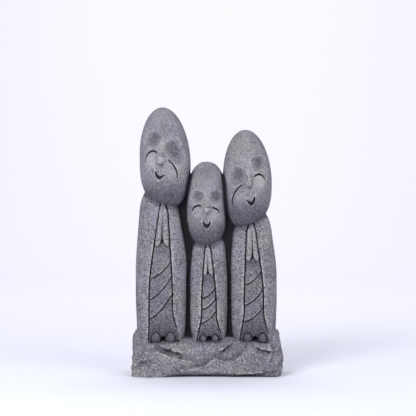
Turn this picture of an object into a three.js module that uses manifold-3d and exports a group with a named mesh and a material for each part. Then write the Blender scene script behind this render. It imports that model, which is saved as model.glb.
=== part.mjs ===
import * as THREE from 'three';
import { mergeVertices } from 'three/addons/utils/BufferGeometryUtils.js';
import Module from 'manifold-3d';

// Three smiling figures with egg-shaped heads, side by side on one rough base, cast in one piece.
// Millimetres, +Z up. The faces look along -Y and the origin is the middle of the flat underside.

const wasm = await Module();
wasm.setup();

// Height of each figure above the level that it stands on
const TALL_HEIGHT = 343;
const SECOND_HEIGHT = 310;
const CHILD_HEIGHT = 263;

// Depth of each robe, front to back
const TALL_DEPTH = 64;
const SECOND_DEPTH = 60;
const CHILD_DEPTH = 54;

// Space between two neighbours at their widest, and the web that joins them behind it
const FIGURE_SPACE = 1.6;
const WEB_THICKNESS = 25;
const WEB_SETBACK = 1;

// The rough base: its height and how far it reaches past the robes
const BASE_HEIGHT = 50;
const BASE_LEFT_LEDGE = 4;
const BASE_RIGHT_LEDGE = 7.6;
const BASE_FRONT_LEDGE = 26;
const BASE_BACK_LEDGE = 24;
const BASE_BACK_RISE = 11;
const BASE_ROUGHNESS = 2.4;
const BASE_FRONT_LIFT = 8;
const LEDGE_WIDTH = 9;
const LEDGE_DEPTH = 3.2;

// Carved lines and steps
const SLEEVE_STEP = 4.5;
const LINE_WIDTH = 2.4;
const LINE_DEPTH = 2.8;
const CUT_CLEARANCE = 0.15;
const FOLD_WIDTH = 2.6;
const FOLD_DEPTH = 2.6;
const HAND_RELIEF = 10;
const HAND_SIDE_SPACE = 0.8;
const PALM_OVERLAP = 0.3;
const FOOT_REACH = 8;
const FOOT_SPACE = 1.4;
const BROW_DEPTH = 4.6;
const HEAD_FORWARD = 6;
const NOSE_RELIEF = 4;

// Shares of a figure's height that all three have in common
const ROBE_HALF_WIDTH = 0.112;
const HEAD_DEPTH_TO_WIDTH = 0.88;
const JAW_ROUNDNESS = 2.7;
const CHIN_FOLLOWS = 0.15;
const NECK_DRAW = 0.36;
const SLEEVE_ROUND = 2.4;
const HEEL_NOTCH = 0.2;
const BROW_HALF_WIDTH = 0.22;
const STANDING_INTO_BASE = 8;

// A figure's free forms. Heights and widths are shares of its height, measured from the middle of its
// feet. A face's points are shares of its half width, measured from the middle of its widest level.
const TALL = {
  height: TALL_HEIGHT,
  depth: TALL_DEPTH,
  side: -1,
  head: { offset: 0.015, halfWidth: 0.1095, widest: 0.771, chin: 0.573, crown: 2 },
  tilt: { lean: -0.05, jaw: -0.17 },
  shoulder: { drop: 0.03, left: 0.018, right: 0.032 },
  strip: { left: [-0.0085, -0.0515, -0.053], right: [0.027, 0.0475, 0.077], top: 0.62 },
  hands: { top: 0.59, bottom: 0.4, middle: 0.0035 },
  folds: [[0.342, 0.266], [0.279, 0.173], [0.201, 0.091]],
  feet: { left: -0.022, right: 0.04, halfWidth: 0.0188, halfHeight: 0.024 },
  eyes: [[[-0.76, 0], [-0.46, 0.35], [-0.28, 0.26]], [[0.14, 0.01], [0.4, -0.31], [0.5, -0.72]]],
  mouth: [[-0.36, -0.38], [-0.22, -0.68], [0.04, -0.54]],
  nose: { x: -0.12, z: 0.02, tilt: 0.05 },
  brows: [{ x: -0.44, z: 0.8, tilt: -0.3, long: 0.3 }, { x: 0.37, z: 0.36, tilt: 0.45, long: 0.46 }],
};
const SECOND = {
  height: SECOND_HEIGHT,
  depth: SECOND_DEPTH,
  side: 1,
  head: { offset: -0.028, halfWidth: 0.116, widest: 0.759, chin: 0.54, crown: 2 },
  tilt: { lean: -0.04, jaw: 0.22 },
  shoulder: { drop: 0.04, left: 0.01, right: 0.028 },
  strip: { left: [-0.033, -0.0445, -0.064], right: [0.008, 0.046, 0.072], top: 0.585 },
  hands: { top: 0.556, bottom: 0.372, middle: -0.006 },
  folds: [[0.334, 0.263], [0.246, 0.167], [0.162, 0.089]],
  feet: { left: -0.029, right: 0.041, halfWidth: 0.0185, halfHeight: 0.024 },
  eyes: [[[-0.23, -0.18], [-0.49, -0.57], [-0.61, -1.1]], [[0.26, 0.13], [0.47, 0.23], [0.71, 0.01]]],
  mouth: [[-0.1, -0.74], [0.13, -0.96], [0.31, -0.55]],
  nose: { x: 0.04, z: -0.09, tilt: -0.03 },
  brows: [{ x: 0.41, z: 0.72, tilt: 0.15, long: 0.3 }, { x: -0.44, z: 0.14, tilt: -0.4, long: 0.36 }],
};
const CHILD = {
  height: CHILD_HEIGHT,
  depth: CHILD_DEPTH,
  side: 0,
  head: { offset: -0.012, halfWidth: 0.115, widest: 0.765, chin: 0.525, crown: 2.3 },
  tilt: { lean: 0, jaw: 0 },
  shoulder: { drop: 0.04, left: 0.012, right: 0.012 },
  strip: { left: [-0.022, -0.04, -0.064], right: [0.012, 0.042, 0.076], top: 0.57 },
  hands: { top: 0.538, bottom: 0.36, middle: -0.006 },
  folds: [[0.296, 0.237], [0.241, 0.173], [0.169, 0.097]],
  feet: { left: -0.03, right: 0.037, halfWidth: 0.0188, halfHeight: 0.022 },
  eyes: [[[-0.73, -0.41], [-0.46, -0.11], [-0.27, -0.13]], [[0.27, -0.21], [0.5, -0.29], [0.64, -0.49]]],
  mouth: [[-0.24, -0.79], [0.01, -1.1], [0.26, -0.79]],
  nose: { x: 0.02, z: -0.27, tilt: 0 },
  brows: [{ x: -0.44, z: 0.36, tilt: -0.1, long: 0.26 }, { x: 0.46, z: 0.34, tilt: 0.1, long: 0.26 }],
};

const lerp = THREE.MathUtils.lerp;
function smooth(value, from, to) {
  const t = THREE.MathUtils.clamp((value - from) / (to - from), 0, 1);
  return t * t * (3 - 2 * t);
}

// Where each figure stands: the child in the middle and its neighbours beside it
const halfRobe = (figure) => figure.height * ROBE_HALF_WIDTH;
for (const figure of [TALL, SECOND, CHILD]) {
  figure.x = figure.side * (halfRobe(CHILD) + FIGURE_SPACE + halfRobe(figure));
}
const BASE_LEFT = TALL.x - halfRobe(TALL) - BASE_LEFT_LEDGE;
const BASE_RIGHT = SECOND.x + halfRobe(SECOND) + BASE_RIGHT_LEDGE;
const MIDDLE = (BASE_LEFT + BASE_RIGHT) / 2;
const DEEPEST = Math.max(TALL_DEPTH, SECOND_DEPTH, CHILD_DEPTH);
const BASE_FRONT = -DEEPEST / 2 - BASE_FRONT_LEDGE;
const BASE_BACK = DEEPEST / 2 + BASE_BACK_LEDGE;

// A closed three.js geometry as a solid for joining and cutting
function solid(geometry) {
  geometry.deleteAttribute('normal');
  geometry.deleteAttribute('uv');
  const merged = mergeVertices(geometry, 1e-4);
  return new wasm.Manifold(new wasm.Mesh({
    numProp: 3,
    vertProperties: new Float32Array(merged.attributes.position.array),
    triVerts: new Uint32Array(merged.index.array),
  }));
}

// A solid's surface as a three.js geometry
function surface(body) {
  const mesh = body.getMesh();
  const geometry = new THREE.BufferGeometry();
  geometry.setAttribute('position', new THREE.BufferAttribute(mesh.vertProperties, 3));
  geometry.setIndex(new THREE.BufferAttribute(mesh.triVerts, 1));
  geometry.computeVertexNormals();
  return geometry;
}

// Moves every vertex of a geometry to where place(x, y, z) says
function deform(geometry, place) {
  const position = geometry.attributes.position;
  for (let i = 0; i < position.count; i += 1) {
    const [x, y, z] = place(position.getX(i), position.getY(i), position.getZ(i));
    position.setXYZ(i, x, y, z);
  }
  return geometry;
}

// The measures of a figure's head in millimetres
function headMeasures(figure) {
  const { head, height, x } = figure;
  return {
    x: x + head.offset * height,
    y: -HEAD_FORWARD,
    z: BASE_HEIGHT + head.widest * height,
    width: head.halfWidth * height,
    depth: head.halfWidth * height * HEAD_DEPTH_TO_WIDTH,
    up: (1 - head.widest) * height,
    down: (head.widest - head.chin) * height,
  };
}

// A head: an egg with a blunt jaw that slopes to one side, hollow brows and more faces at the front
function makeHead(figure) {
  const { head, tilt, brows } = figure;
  const m = headMeasures(figure);
  const egg = new THREE.SphereGeometry(1, 26, 16);
  egg.rotateX(Math.PI / 2);
  return solid(deform(egg, (x, y, z) => {
    const round = Math.hypot(x, y);
    const power = z > 0 ? head.crown : JAW_ROUNDNESS;
    const swell = (round ** power + Math.abs(z) ** power) ** (-1 / power);
    const turn = Math.atan2(x, -y);
    const around = turn * (0.62 + 0.38 * Math.abs(turn) / Math.PI);
    const across = Math.sin(around) * round * swell * m.width;
    const level = z * swell;
    const jaw = smooth(-level, 0.1, 1);
    const px = across + tilt.lean * level * (level > 0 ? m.up : m.down * CHIN_FOLLOWS);
    const pz = level * (level > 0 ? m.up : m.down) + tilt.jaw * across * jaw;
    let py = -Math.cos(around) * round * swell * m.depth;
    if (py < 0) {
      for (const brow of brows) {
        const dx = px / m.width - brow.x;
        const dz = pz / m.width - brow.z;
        const along = dz * Math.cos(brow.tilt) - dx * Math.sin(brow.tilt);
        const beside = dx * Math.cos(brow.tilt) + dz * Math.sin(brow.tilt);
        py += BROW_DEPTH * Math.exp(-((along / brow.long) ** 2) - (beside / BROW_HALF_WIDTH) ** 2);
      }
    }
    return [m.x + px, m.y + py, m.z + pz];
  }));
}

// A small wedge of a nose, from the brow to a round tip
function makeNose(figure, faceAt) {
  const { nose } = figure;
  const m = headMeasures(figure);
  const drop = new THREE.SphereGeometry(1, 8, 6);
  drop.rotateX(Math.PI / 2);
  const tip = faceAt(m.x + nose.x * m.width, m.z + nose.z * m.width);
  return solid(deform(drop, (x, y, z) => {
    const fine = z > 0 ? lerp(1, 0.5, z) : 1;
    const high = z > 0 ? 0.4 : 0.16;
    return [
      tip.x + (x * fine * 0.12 + nose.tilt * z) * m.width,
      tip.y + y * fine * NOSE_RELIEF,
      tip.z + z * high * m.width,
    ];
  }));
}

// Half the width of a robe at a share of its height, on its left or right side
function robeHalf(figure, share, side) {
  const narrow = side < 0 ? figure.shoulder.left : figure.shoulder.right;
  const shoulder = smooth(share, 0.3, figure.head.chin + 0.05);
  const hem = smooth(share, 0.2, 0) * 0.006;
  return (ROBE_HALF_WIDTH - narrow * shoulder - hem) * figure.height;
}

// Half the depth of a robe at a share of its height: it draws in below the chin
function robeHalfDepth(figure, share) {
  return figure.depth / 2 * (1 - NECK_DRAW * smooth(share, 0.35, figure.head.chin));
}

// Where the open strip between the sleeves ends on the left or right, at a share of the height
function stripEdge(figure, share, side) {
  const [top, middle, foot] = side < 0 ? figure.strip.left : figure.strip.right;
  const upper = smooth(share, 0.2, figure.strip.top);
  const lower = smooth(share, 0.16, 0) ** 1.4;
  const straight = lerp(middle, top, upper);
  return lerp(straight, foot, lower) * figure.height;
}

// A robe: two round sleeves from shoulder to base with a lower strip between them, and a plain back
function makeRobe(figure) {
  const sleeve = [0, 0.1, 0.28, 0.52, 0.78, 0.94];
  const strip = 5;
  const back = 7;
  const sides = sleeve.length * 2 + strip + back;
  const topShare = figure.head.chin + 0.1;
  const roundShare = figure.head.chin - figure.shoulder.drop;
  const sunk = STANDING_INTO_BASE / figure.height;
  const column = new THREE.CylinderGeometry(1, 1, 1, sides, 11);
  column.rotateX(Math.PI / 2);
  const place = (index, share) => {
    const halfDepth = robeHalfDepth(figure, share);
    const left = -robeHalf(figure, share, -1);
    const right = robeHalf(figure, share, 1);
    const edges = [stripEdge(figure, share, -1), stripEdge(figure, share, 1)];
    const outer = (x) => {
      const out = THREE.MathUtils.clamp(x < 0 ? x / left : x / right, 0, 1);
      return halfDepth * (1 - out ** SLEEVE_ROUND) ** (1 / SLEEVE_ROUND);
    };
    if (index < strip) {
      const x = lerp(edges[0], edges[1], index / (strip - 1));
      return [x, -halfDepth + SLEEVE_STEP];
    }
    if (index < strip + sleeve.length) {
      const part = sleeve[index - strip];
      const x = lerp(edges[1], right, part);
      return [x, -outer(x) + SLEEVE_STEP * 0.3 * (1 - Math.min(part / 0.28, 1))];
    }
    if (index < strip + sleeve.length + back) {
      const around = (index - strip - sleeve.length) / (back - 1) * Math.PI;
      const x = Math.cos(around) > 0 ? right * Math.cos(around) : -left * Math.cos(around);
      return [x, halfDepth * Math.max(Math.sin(around), 0) ** 0.8];
    }
    const part = sleeve[sides - 1 - index];
    const x = lerp(edges[0], left, part);
    return [x, -outer(x) + SLEEVE_STEP * 0.3 * (1 - Math.min(part / 0.28, 1))];
  };
  return solid(deform(column, (x, y, z) => {
    const share = lerp(-sunk, topShare, z + 0.5);
    const level = BASE_HEIGHT + share * figure.height;
    if (Math.hypot(x, y) < 0.5) {
      return [figure.x, 0, level];
    }
    const turn = Math.atan2(y, x) / (2 * Math.PI);
    const index = Math.round((turn + 1) * sides) % sides;
    const [across, deep] = place(index, share);
    const round = Math.max(share - roundShare, 0) / (topShare - roundShare);
    const close = (1 - Math.min(round, 0.97) ** 2.5) ** 0.4;
    const middle = headMeasures(figure).x - figure.x;
    return [figure.x + lerp(middle, across, close), deep * close, level];
  }));
}

// One of two praying hands, which fill the strip from sleeve to sleeve and part at the heels
function makeHand(figure, side) {
  const { hands, height } = figure;
  const palm = new THREE.SphereGeometry(1, 8, 7);
  palm.rotateX(Math.PI / 2);
  return solid(deform(palm, (x, y, z) => {
    const round = Math.hypot(x, y);
    const full = round > 1e-6 ? Math.max(1 - Math.abs(z) ** 6, 0) ** (1 / 3) / round : 0;
    const down = (1 - z) / 2;
    const level = lerp(hands.bottom, hands.top, 1 - down);
    const inner = hands.middle * height - side * PALM_OVERLAP;
    const outer = stripEdge(figure, level, side) - side * HAND_SIDE_SPACE;
    const notch = HEEL_NOTCH * (hands.top - hands.bottom) * down * ((1 - side * x * full) / 2) ** 3;
    const floor = SLEEVE_STEP - robeHalfDepth(figure, level);
    return [
      figure.x + (inner + outer) / 2 + x * full * Math.abs(outer - inner) / 2,
      floor + 1 + y * full * HAND_RELIEF * lerp(0.85, 1.05, down),
      BASE_HEIGHT + (level + notch) * height,
    ];
  }));
}

// One foot: a small egg that looks out from under the hem
function makeFoot(figure, share, space) {
  const { feet, height, depth } = figure;
  const egg = new THREE.SphereGeometry(1, 8, 6);
  const high = feet.halfHeight * height + space;
  const wide = feet.halfWidth * height + space;
  egg.scale(wide, FOOT_REACH + space, high);
  const rise = feet.halfHeight * height * 0.55;
  egg.translate(figure.x + share * height, space - depth / 2 - 1, BASE_HEIGHT + rise);
  return solid(egg);
}

// A wedge-shaped cut along a curve, pointed at both ends
function carve(points, width, depth, inward) {
  const curve = new THREE.CatmullRomCurve3(points);
  const wedge = new THREE.CylinderGeometry(1, 1, 1, 4, 6);
  wedge.rotateX(Math.PI / 2);
  return solid(deform(wedge, (x, y, z) => {
    const t = z + 0.5;
    const centre = curve.getPoint(t);
    const into = inward(centre);
    centre.addScaledVector(into, -CUT_CLEARANCE);
    if (Math.hypot(x, y) < 0.5) {
      return [centre.x, centre.y, centre.z];
    }
    const beside = into.clone().cross(curve.getTangent(t)).normalize();
    const fine = Math.max(Math.sin(Math.PI * t), 0) ** 0.6 * 0.85 + 0.15;
    const deep = y > 0 ? y * depth : y * 1.5;
    centre.addScaledVector(beside, x * width / 2 * fine);
    centre.addScaledVector(into, deep * fine);
    return [centre.x, centre.y, centre.z];
  }));
}

// The base: one rough block with a flat underside, and a front edge that lifts off the ground on the right
function makeBase() {
  const width = BASE_RIGHT - BASE_LEFT;
  const depth = BASE_BACK - BASE_FRONT;
  const block = new THREE.BoxGeometry(1, 1, 1, 16, 7, 4);
  const wave = (x, y, z) => Math.sin(x * 0.11 + 1.3) * Math.cos(y * 0.09 + z * 0.13)
    + 0.6 * Math.sin(x * 0.23 + z * 0.19 + 0.7) * Math.cos(y * 0.21);
  return solid(deform(block, (x, y, z) => {
    const side = Math.abs(x) * 2;
    const face = Math.abs(y) * 2;
    const level = z + 0.5;
    const corner = (side ** 8 + face ** 8) ** (-1 / 8) * Math.max(side, face);
    const edge = smooth(level, 0.72, 1) * 0.06 + (1 - smooth(level, 0, 0.2)) * 0.012;
    const scale = Number.isFinite(corner) ? corner : 1;
    const px = MIDDLE + x * width * scale * (1 - edge * side * 0.5);
    const py = (BASE_FRONT + BASE_BACK) / 2 + y * depth * scale * (1 - edge * face);
    const rough = wave(px, py, z * BASE_HEIGHT) * BASE_ROUGHNESS;
    const inward = level > 0 ? 1 : 0;
    const rise = BASE_BACK_RISE * smooth(py, -DEEPEST / 2, 0) * level ** 2;
    const top = level > 0.99 ? rough * 0.8 - 3 * smooth(side, 0.85, 1) - 4 * smooth(-y * 2, 0.7, 1) : 0;
    const frontEdge = level < 0.01 && y < -0.49;
    const lift = frontEdge ? smooth(x, -0.36, -0.15) * (1 - 0.45 * smooth(x, 0, 0.4)) * BASE_FRONT_LIFT : 0;
    return [
      px - Math.sign(x) * smooth(side, 0.9, 1) * Math.abs(rough) * 0.35 * inward,
      py - Math.sign(y) * smooth(face, 0.9, 1) * Math.abs(rough) * inward,
      level * BASE_HEIGHT + rise + top + lift,
    ];
  }));
}

// Where flakes broke off the front of the base: each is a line through points across and up from its foot
const LEDGES = [
  [[-70, 44], [-52, 35], [-30, 29]],
  [[18, 34], [30, 40], [41, 45]],
  [[8, 25], [34, 21], [55, 35]],
  [[70, 44], [84, 37], [100, 38]],
];
function breakLedges(base) {
  const faceAt = frontOf(base);
  const inward = () => new THREE.Vector3(0, 1, 0);
  return LEDGES.reduce((block, line) => {
    const points = line.map(([x, z]) => faceAt(MIDDLE + x, z));
    return block.subtract(carve(points, LEDGE_WIDTH, LEDGE_DEPTH, inward));
  }, base);
}

// The web between the figures: it starts just behind the middle of the heads, where neighbours touch, and
// closes the narrow space between them
function makeWeb() {
  const head = headMeasures(CHILD);
  const top = head.z + head.up * 0.72;
  const foot = BASE_HEIGHT - STANDING_INTO_BASE;
  const front = head.y + WEB_SETBACK;
  const slab = new THREE.BoxGeometry(SECOND.x - TALL.x, WEB_THICKNESS, top - foot);
  slab.translate((SECOND.x + TALL.x) / 2, front + WEB_THICKNESS / 2, (top + foot) / 2);
  return solid(slab);
}

// Finds the point on the front of a body at x and z
function frontOf(body) {
  const shell = new THREE.Mesh(surface(body));
  const reach = BASE_FRONT * 4;
  return (x, z) => {
    const ray = new THREE.Raycaster(new THREE.Vector3(x, reach, z), new THREE.Vector3(0, 1, 0));
    const hit = ray.intersectObject(shell)[0];
    return hit ? hit.point : new THREE.Vector3(x, 0, z);
  };
}

// The cuts for one face: two closed eyes and a smiling mouth
function faceCuts(figure, faceAt) {
  const m = headMeasures(figure);
  const inward = (point) => new THREE.Vector3(
    (m.x - point.x) / m.width ** 2,
    (m.y - point.y) / m.depth ** 2,
    (m.z - point.z) / m.down ** 2,
  ).normalize();
  const onFace = ([x, z]) => faceAt(m.x + x * m.width, m.z + z * m.width);
  const eyes = figure.eyes.map((eye) => carve(eye.map(onFace), LINE_WIDTH, LINE_DEPTH, inward));
  const mouth = carve(figure.mouth.map(onFace), LINE_WIDTH * 1.9, LINE_DEPTH * 1.3, inward);
  return [...eyes, mouth];
}

// The cuts for one robe: three folds that fall from the right sleeve to the left one
function foldCuts(figure) {
  const floor = SLEEVE_STEP - figure.depth / 2;
  const inward = () => new THREE.Vector3(0, 1, 0);
  return figure.folds.map(([high, low]) => {
    const start = stripEdge(figure, high, 1) * 1.1;
    const end = stripEdge(figure, low, -1) * 1.1;
    const points = [0, 0.5, 1].map((t) => new THREE.Vector3(
      figure.x + lerp(start, end, t),
      floor,
      BASE_HEIGHT + (lerp(high, low, t) - 0.012 * Math.sin(Math.PI * t)) * figure.height,
    ));
    return carve(points, FOLD_WIDTH, FOLD_DEPTH, inward);
  });
}

// One whole figure
function makeFigure(figure) {
  const head = makeHead(figure);
  const faceAt = frontOf(head);
  let body = makeRobe(figure);
  for (const cut of foldCuts(figure)) {
    body = body.subtract(cut);
  }
  for (const share of [figure.feet.left, figure.feet.right]) {
    body = body.subtract(makeFoot(figure, share, FOOT_SPACE));
    body = body.add(makeFoot(figure, share, 0));
  }
  for (const side of [-1, 1]) {
    body = body.add(makeHand(figure, side));
  }
  let face = head.add(makeNose(figure, faceAt));
  for (const cut of faceCuts(figure, faceAt)) {
    face = face.subtract(cut);
  }
  return body.add(face);
}

// The whole casting, brought to the middle of its underside
function makeStatue() {
  let statue = breakLedges(makeBase()).add(makeWeb());
  for (const figure of [TALL, SECOND, CHILD]) {
    statue = statue.add(makeFigure(figure));
  }
  const geometry = surface(statue);
  geometry.translate(-MIDDLE, -(BASE_FRONT + BASE_BACK) / 2, 0);
  return geometry;
}

const castStone = new THREE.MeshStandardMaterial({ color: 0x85838c, roughness: 0.9, metalness: 0 });
const statue = new THREE.Mesh(makeStatue(), castStone);
statue.name = 'jizo_statue';

const group = new THREE.Group();
group.add(statue);
export default group;
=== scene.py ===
import math

import bpy
import mathutils
import numpy as np
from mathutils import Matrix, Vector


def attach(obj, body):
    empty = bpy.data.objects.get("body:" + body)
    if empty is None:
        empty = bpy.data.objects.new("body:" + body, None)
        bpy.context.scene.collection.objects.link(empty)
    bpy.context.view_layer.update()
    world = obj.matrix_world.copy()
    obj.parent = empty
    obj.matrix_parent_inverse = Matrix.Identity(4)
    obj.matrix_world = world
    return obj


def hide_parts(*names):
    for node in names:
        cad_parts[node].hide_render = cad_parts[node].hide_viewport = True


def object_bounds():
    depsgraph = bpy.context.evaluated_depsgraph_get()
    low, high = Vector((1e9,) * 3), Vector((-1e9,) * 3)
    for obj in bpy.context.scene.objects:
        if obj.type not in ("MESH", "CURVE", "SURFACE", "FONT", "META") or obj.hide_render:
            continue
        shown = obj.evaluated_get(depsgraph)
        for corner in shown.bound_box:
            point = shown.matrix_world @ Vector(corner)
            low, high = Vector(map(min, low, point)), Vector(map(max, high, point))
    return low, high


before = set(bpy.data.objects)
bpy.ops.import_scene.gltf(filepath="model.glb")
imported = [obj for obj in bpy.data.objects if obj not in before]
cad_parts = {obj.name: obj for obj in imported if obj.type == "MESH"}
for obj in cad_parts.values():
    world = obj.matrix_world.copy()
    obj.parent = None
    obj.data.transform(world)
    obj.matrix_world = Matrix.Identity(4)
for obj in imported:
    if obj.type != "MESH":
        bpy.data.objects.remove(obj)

import openvdb

cad_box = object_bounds()

# The statue is one casting in grey stone: three smiling figures with egg-shaped heads and long robes on a
# rough base. It was carved as a clay or wax master and cast in one mould, so every form runs into the next.
# It is built here as one field of distances to its surface, in millimetres, carved and joined form by form.

# The base is one block of broken rock. Its sides were left as they split, with ledges, chips and pits,
# and only its underside is flat. It rises a little behind the feet and more at its two ends, and it is as
# long as the three robes that stand on it side by side, with a narrow ledge at each end.

MM = 0.001
GRIT = 0.75  # spacing of the field's points, in mm
SKIN = 6.0  # how far from the surface the field is kept, in mm
MARGIN = 5.0  # room round the statue, in mm

low = np.array(cad_box[0]) / MM - MARGIN
high = np.array(cad_box[1]) / MM + MARGIN
counts = np.ceil((high - low) / GRIT).astype(int) + 1
axes = [low[i] + GRIT * np.arange(counts[i], dtype=np.float32) for i in range(3)]
field = np.full(counts, SKIN, dtype=np.float32)


def smooth(value, start, end):
    t = np.clip((value - start) / (end - start), 0, 1)
    return t * t * (3 - 2 * t)


class Window:
    """A block of the field, with its coordinates in millimetres."""

    def __init__(self, corner_a, corner_b):
        self.cut = tuple(
            slice(max(int((a - lo) / GRIT) - 1, 0), min(int((b - lo) / GRIT) + 3, n))
            for a, b, lo, n in zip(corner_a, corner_b, low, counts)
        )
        self.x = axes[0][self.cut[0]][:, None, None]
        self.y = axes[1][self.cut[1]][None, :, None]
        self.z = axes[2][self.cut[2]][None, None, :]

    def join(self, distance, blend=0.0):
        old = field[self.cut]
        field[self.cut] = soft_low(old, distance, blend)

    def carve(self, distance, blend=0.0):
        old = field[self.cut]
        field[self.cut] = -soft_low(-old, distance, blend)


def soft_low(a, b, blend):
    """The lower of two fields, with a fillet of about the blend's size where they meet."""
    if blend <= 0:
        return np.minimum(a, b)
    near = np.maximum(blend - np.abs(a - b), 0) / blend
    return np.minimum(a, b) - near * near * blend / 4


BASE_HEIGHT = 50.0
BASE_BACK_RISE = 11.0
BASE_END_RISE = 14.0
BASE_LEFT_LEDGE = 4.0
BASE_RIGHT_LEDGE = 7.6
BASE_FRONT_LEDGE = 26.0
BASE_BACK_LEDGE = 24.0
FIGURE_SPACE = 1.6
ROBE_HALF_WIDTH = 0.112  # a share of the figure's height, as all its widths and levels are

TALL = {"height": 343.0, "depth": 64.0, "side": -1}
SECOND = {"height": 310.0, "depth": 60.0, "side": 1}
CHILD = {"height": 263.0, "depth": 54.0, "side": 0}
FIGURES = (TALL, SECOND, CHILD)


def half_robe(figure):
    return figure["height"] * ROBE_HALF_WIDTH


for figure in FIGURES:
    figure["x"] = figure["side"] * (half_robe(CHILD) + FIGURE_SPACE + half_robe(figure))
base_left = TALL["x"] - half_robe(TALL) - BASE_LEFT_LEDGE
base_right = SECOND["x"] + half_robe(SECOND) + BASE_RIGHT_LEDGE
deepest = max(figure["depth"] for figure in FIGURES)
middle_x = (base_left + base_right) / 2
middle_y = (BASE_BACK_LEDGE - BASE_FRONT_LEDGE) / 2
for figure in FIGURES:
    figure["x"] -= middle_x
FIGURES_Y = -middle_y

ROCK_SEED = 17
ROCK_CELLS = 32
LUMP_WIDTH, LUMP_HEIGHT = 31.0, 2.0
CRAG_WIDTH, CRAG_HEIGHT = 12.0, 1.4
CHIP_WIDTH, CHIP_HEIGHT = 7.0, 1.3
ROCK_CORNER = 22.0
ROCK_SQUARENESS = 9  # the power that rounds the block's upright corners
FACE_WEAR = 0.07
SIDE_WEAR = 0.04
FLANK_INSET = 1.2
FRONT_EDGE_DROP = 3.5
FRONT_LIFT = 8.0
LIFT_REACH = 12.0
base_half = ((base_right - base_left) / 2, (deepest + BASE_FRONT_LEDGE + BASE_BACK_LEDGE) / 2)
rng = np.random.default_rng(ROCK_SEED)
lattice = rng.uniform(-1, 1, (ROCK_CELLS,) * 3).astype(np.float32)


def rock_noise(x, y, z, grain):
    """Smooth noise between -1 and 1 whose lumps are about grain millimetres wide."""
    cells = []
    for value in (x, y, z):
        cell = value / grain + 1000.0  # far from zero, so that no cell is below it
        whole = np.floor(cell)
        part = cell - whole
        index = whole.astype(int)
        cells.append((index % ROCK_CELLS, (index + 1) % ROCK_CELLS, part * part * (3 - 2 * part)))
    (x0, x1, tx), (y0, y1, ty), (z0, z1, tz) = cells
    total = 0
    for xi, wx in ((x0, 1 - tx), (x1, tx)):
        for yi, wy in ((y0, 1 - ty), (y1, ty)):
            for zi, wz in ((z0, 1 - tz), (z1, tz)):
                total = total + lattice[xi, yi, zi] * (wx * wy * wz)
    return total


def make_base():
    top = BASE_HEIGHT + BASE_BACK_RISE
    reach_x, reach_y = base_half[0] + 4, base_half[1] + 4
    window = Window((-reach_x, -reach_y, -4), (reach_x, reach_y, top + 8))
    x, y, z = window.x, window.y, window.z
    lump = rock_noise(x, y, z, LUMP_WIDTH)
    crag = rock_noise(x, y, z, CRAG_WIDTH)
    chip = -np.abs(rock_noise(x, y, z, CHIP_WIDTH)) * CHIP_HEIGHT
    side = np.abs(x) / base_half[0]
    face = np.abs(y) / base_half[1]
    rise = BASE_BACK_RISE * smooth(y, FIGURES_Y - deepest / 2, FIGURES_Y)
    beside_feet = smooth(y, FIGURES_Y - deepest / 2, FIGURES_Y - 8)
    rise = rise + BASE_END_RISE * smooth(side, 0.74, 0.95) * beside_feet
    worn_face = 1 - FACE_WEAR * smooth(z, BASE_HEIGHT * 0.55, BASE_HEIGHT * 1.15)
    worn_side = 1 - SIDE_WEAR * smooth(z, BASE_HEIGHT * 1.1, BASE_HEIGHT * 1.5)
    power = ROCK_SQUARENESS
    flank = ((side / worn_side) ** power + (face / worn_face) ** power) ** (1 / power) - 1
    flank = flank * base_half[1] + LUMP_HEIGHT * lump + CRAG_HEIGHT * crag + chip + FLANK_INSET
    drop = FRONT_EDGE_DROP * smooth(-y, base_half[1] * 0.7, base_half[1])
    crest = z - (BASE_HEIGHT + rise + lump * 1.6 + crag * 0.7 - drop)
    block = -soft_low(-flank, -crest, ROCK_CORNER)
    lift = FRONT_LIFT * smooth(x, -base_half[0] * 0.72, -base_half[0] * 0.3)
    lift = lift * (1 - 0.45 * smooth(x, 0, base_half[0] * 0.8))
    undercut = np.minimum((lift - z) * 0.8 + (y + base_half[1]) * -0.3, LIFT_REACH)
    block = -soft_low(-block, -undercut, 3.0)
    block = -soft_low(-block, z, 1.5)
    window.join(np.clip(block, -SKIN * 2, SKIN * 2))


# A ledge is where a flake broke off the front of the base: a worn lip along a line, with the broken face
# sunk on one side of it. Each has three points on the front, that side (1 above, -1 below), the depth of
# the broken face and its reach from the lip.

LEDGES = (
    ((-68.0, 45.0), (-52.0, 38.0), (-33.0, 34.0), -1, 3.0, 8.0),
    ((-72.0, 37.0), (-50.0, 29.0), (-28.0, 25.0), 1, 4.0, 13.0),
    ((-101.0, 20.0), (-95.0, 24.0), (-86.0, 26.0), -1, 1.1, 8.0),
    ((16.0, 34.0), (31.0, 45.5), (46.0, 57.0), -1, 4.4, 12.0),
    ((8.0, 30.0), (34.0, 24.0), (58.0, 45.0), 1, 3.4, 14.0),
    ((69.0, 46.0), (84.0, 38.5), (98.0, 39.5), -1, 3.0, 8.0),
    ((90.0, 46.0), (93.0, 40.0), (92.0, 31.0), 1, 1.6, 6.0),
    ((46.0, 5.0), (72.0, 6.0), (91.0, 11.0), -1, 2.6, 6.0),
    ((-30.0, 12.0), (-8.0, 16.0), (14.0, 30.0), 1, 2.0, 12.0),
)
LIP_SOFTNESS = 1.3
LIP_RISE = 0.7
LIP_WIDTH = 2.2
LINE_WANDER = 1.6
LEDGE_REACH_IN = 24.0  # how far into the base, front to back, a ledge is still cut


def curve_through(points, count):
    """Evenly spaced points on one smooth curve through three points."""
    a, b, c = (np.array(p, dtype=float) for p in points)
    first, second = np.linalg.norm(b - a), np.linalg.norm(c - b)
    at = first / (first + second)
    bend = (b - (1 - at) ** 2 * a - at ** 2 * c) / (2 * at * (1 - at))
    t = np.linspace(0, 1, count)[:, None]
    return (1 - t) ** 2 * a + 2 * t * (1 - t) * bend + t * t * c


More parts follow.
